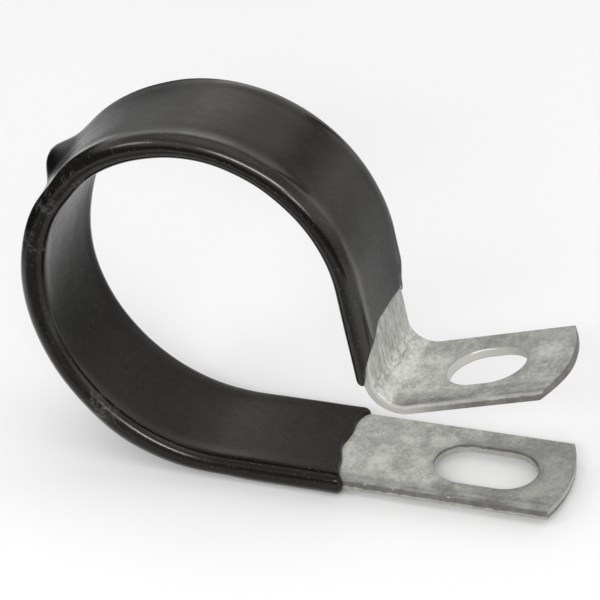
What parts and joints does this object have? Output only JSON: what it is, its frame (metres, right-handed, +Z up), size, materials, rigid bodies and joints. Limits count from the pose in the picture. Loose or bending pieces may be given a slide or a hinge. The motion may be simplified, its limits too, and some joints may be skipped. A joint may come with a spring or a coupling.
{
  "type": "hose mounting strap",
  "caption": "Sprung-open loop clamp of galvanised steel strip, dipped in black vinyl round the loop, with slotted bare tabs for bolting a hose or cable bundle in place.",
  "frame": {"origin": "middle of the hose, on the axis of the loop's round part, halfway across the strip", "axes": "+X along the hose, +Y from the loop towards the tabs, +Z up from the lower tab to the loop"},
  "size_m": [0.0214, 0.0853, 0.0602],
  "materials": {
    "galvanised_steel": "dull mottled zinc",
    "black_vinyl": "satin"
  },
  "bodies": {
    "root": {"strap": "galvanised_steel", "coating": "black_vinyl"}
  },
  "joints": []
}
